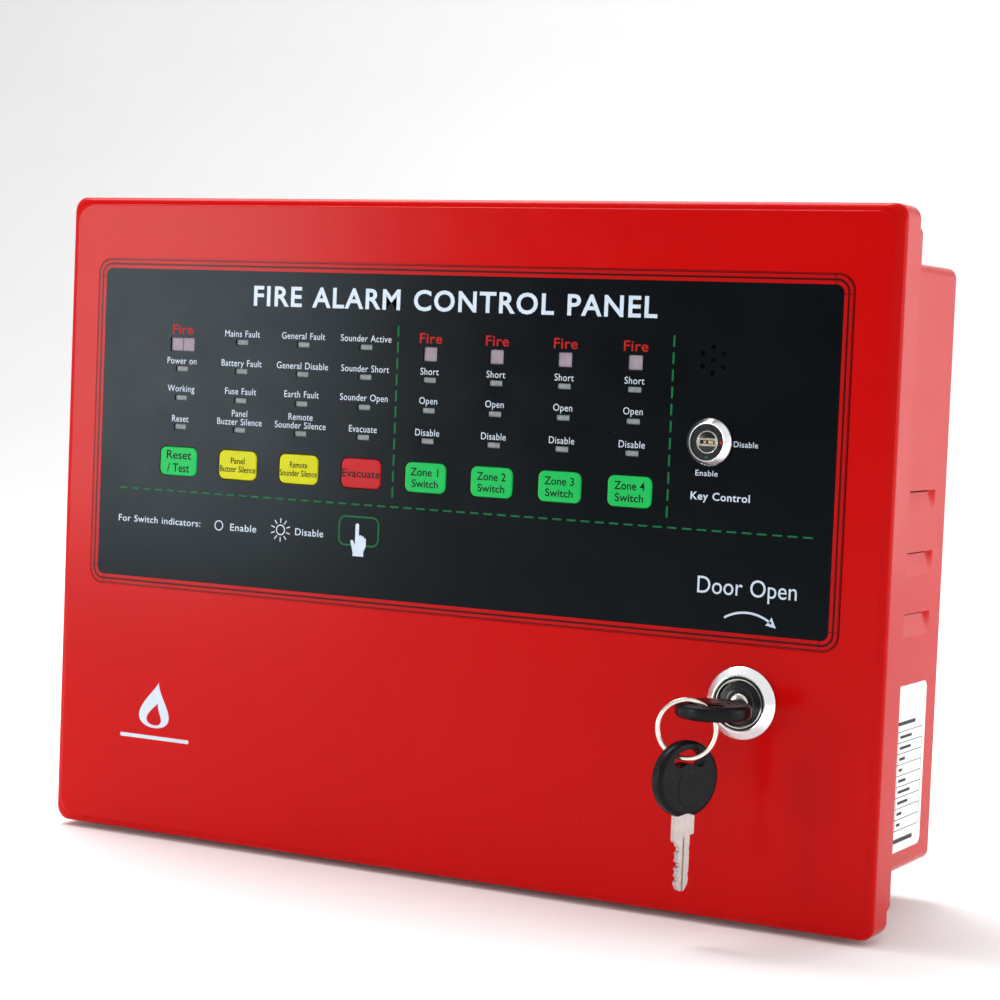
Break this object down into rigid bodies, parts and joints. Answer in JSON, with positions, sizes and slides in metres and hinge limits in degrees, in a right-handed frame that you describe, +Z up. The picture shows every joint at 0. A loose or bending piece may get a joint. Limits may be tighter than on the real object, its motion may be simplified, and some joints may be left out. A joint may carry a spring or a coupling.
{
  "type": "fire alarm control panel",
  "caption": "Wall-mounted fire alarm control panel: louvred box, hinged door with key-pad fascia, buzzer, key control switch, cam lock and hanging keys.",
  "frame": {"origin": "middle of the box's rear face, which rests on the wall", "axes": "+X to the viewer's right, +Y into the wall, +Z up; the door faces -Y"},
  "size_m": [0.358, 0.1453, 0.257],
  "materials": {
    "red_abs": "glossy moulded plastic",
    "fascia_film": "satin printed polyester film",
    "pad_green": "satin printed film",
    "pad_yellow": "satin printed film",
    "pad_red": "satin printed film",
    "chrome": "polished chrome plate",
    "steel": "zinc plated",
    "core_steel": "varnished laminations",
    "nickel_wire": "nickel plated wire",
    "key_metal": "nickel plated brass",
    "brass": "plain brass",
    "aluminium": "as extruded",
    "coil_tape": "wound polyester tape",
    "black_plastic": "moulded plastic",
    "lock_black": "black plated metal",
    "key_bow": "moulded plastic",
    "battery_case": "moulded plastic",
    "circuit_board": "solder resist",
    "terminal_plastic": "moulded plastic",
    "relay_plastic": "moulded plastic",
    "rubber": "soft rubber",
    "label": "printed film",
    "fuse_glass": "clear glass"
  },
  "bodies": {
    "box": {"back_box": "red_abs", "side_label": "label", "hinge_pin_top": "steel", "hinge_pin_bottom": "steel", "cable_grommet_left": "rubber", "cable_grommet_right": "rubber", "transformer_core": "core_steel", "transformer_coil": "coil_tape", "transformer_bracket": "steel", "psu_board": "circuit_board", "mains_terminal_block": "black_plastic", "fuse_holder": "black_plastic", "mains_fuse": "fuse_glass", "psu_heat_sink": "aluminium", "psu_capacitor": "black_plastic", "battery_left": "battery_case", "battery_right": "battery_case", "battery_strap": "steel", "earth_stud": "brass", "lock_strike": "steel"},
    "door": {"door_shell": "red_abs", "fascia_overlay": "fascia_film", "control_board": "circuit_board", "board_screw_1": "steel", "board_screw_2": "steel", "board_screw_3": "steel", "board_screw_4": "steel", "led_shroud": "black_plastic", "buzzer": "black_plastic", "field_terminals_left": "terminal_plastic", "field_terminals_right": "terminal_plastic", "relay_left": "relay_plastic", "relay_right": "relay_plastic", "controller_chip": "black_plastic", "capacitor_left": "black_plastic", "capacitor_right": "black_plastic", "key_switch_body": "chrome", "key_switch_nut": "steel", "key_switch_contacts": "black_plastic", "lock_body": "chrome", "lock_nut": "steel"},
    "lock_plug": {"lock_plug": "lock_black", "lock_cam": "steel", "cam_screw": "steel"},
    "lock_key": {"lock_key_bow": "key_bow", "lock_key_blade": "key_metal"},
    "key_ring": {"key_ring": "nickel_wire"},
    "spare_key": {"spare_key_bow": "key_bow", "spare_key_blade": "key_metal"},
    "key_switch_plug": {"key_switch_plug": "lock_black"},
    "button_reset": {"button_reset": "pad_green"},
    "button_panel_buzzer": {"button_panel_buzzer": "pad_yellow"},
    "button_sounder_silence": {"button_sounder_silence": "pad_yellow"},
    "button_evacuate": {"button_evacuate": "pad_red"},
    "button_zone_1": {"button_zone_1": "pad_green"},
    "button_zone_2": {"button_zone_2": "pad_green"},
    "button_zone_3": {"button_zone_3": "pad_green"},
    "button_zone_4": {"button_zone_4": "pad_green"}
  },
  "joints": [
    {"name": "door_hinge", "type": "hinge", "parent": "box", "child": "door", "pos_m": [-0.1755, -0.0785, 0.0025], "axis": [0, 0, -1], "range_deg": [0, 115]},
    {"name": "lock_turn", "type": "hinge", "parent": "door", "child": "lock_plug", "pos_m": [0.1266, -0.0983, -0.0468], "axis": [0, -1, 0], "range_deg": [0, 90]},
    {"name": "key_withdraw", "type": "slide", "parent": "lock_plug", "child": "lock_key", "axis": [0, -1, 0], "range_m": [0, 0.022]},
    {"name": "ring_swing", "type": "hinge", "parent": "lock_key", "child": "key_ring", "pos_m": [0.1213, -0.1327, -0.0427], "axis": [0.2588, -0.9659, 0], "range_deg": [-8, 8]},
    {"name": "spare_key_swing", "type": "hinge", "parent": "key_ring", "child": "spare_key", "pos_m": [0.1213, -0.1327, -0.0631], "axis": [0.9659, 0.2588, 0], "range_deg": [-8, 8]},
    {"name": "key_switch_turn", "type": "hinge", "parent": "door", "child": "key_switch_plug", "pos_m": [0.1099, -0.0985, 0.0453], "axis": [0, 1, 0], "range_deg": [0, 90]},
    {"name": "button_reset_press", "type": "slide", "parent": "door", "child": "button_reset", "axis": [0, 1, 0], "range_m": [0, 0.0005], "stiffness_N_per_m": 2500},
    {"name": "button_panel_buzzer_press", "type": "slide", "parent": "door", "child": "button_panel_buzzer", "axis": [0, 1, 0], "range_m": [0, 0.0005], "stiffness_N_per_m": 2500},
    {"name": "button_sounder_silence_press", "type": "slide", "parent": "door", "child": "button_sounder_silence", "axis": [0, 1, 0], "range_m": [0, 0.0005], "stiffness_N_per_m": 2500},
    {"name": "button_evacuate_press", "type": "slide", "parent": "door", "child": "button_evacuate", "axis": [0, 1, 0], "range_m": [0, 0.0005], "stiffness_N_per_m": 2500},
    {"name": "button_zone_1_press", "type": "slide", "parent": "door", "child": "button_zone_1", "axis": [0, 1, 0], "range_m": [0, 0.0005], "stiffness_N_per_m": 2500},
    {"name": "button_zone_2_press", "type": "slide", "parent": "door", "child": "button_zone_2", "axis": [0, 1, 0], "range_m": [0, 0.0005], "stiffness_N_per_m": 2500},
    {"name": "button_zone_3_press", "type": "slide", "parent": "door", "child": "button_zone_3", "axis": [0, 1, 0], "range_m": [0, 0.0005], "stiffness_N_per_m": 2500},
    {"name": "button_zone_4_press", "type": "slide", "parent": "door", "child": "button_zone_4", "axis": [0, 1, 0], "range_m": [0, 0.0005], "stiffness_N_per_m": 2500}
  ]
}
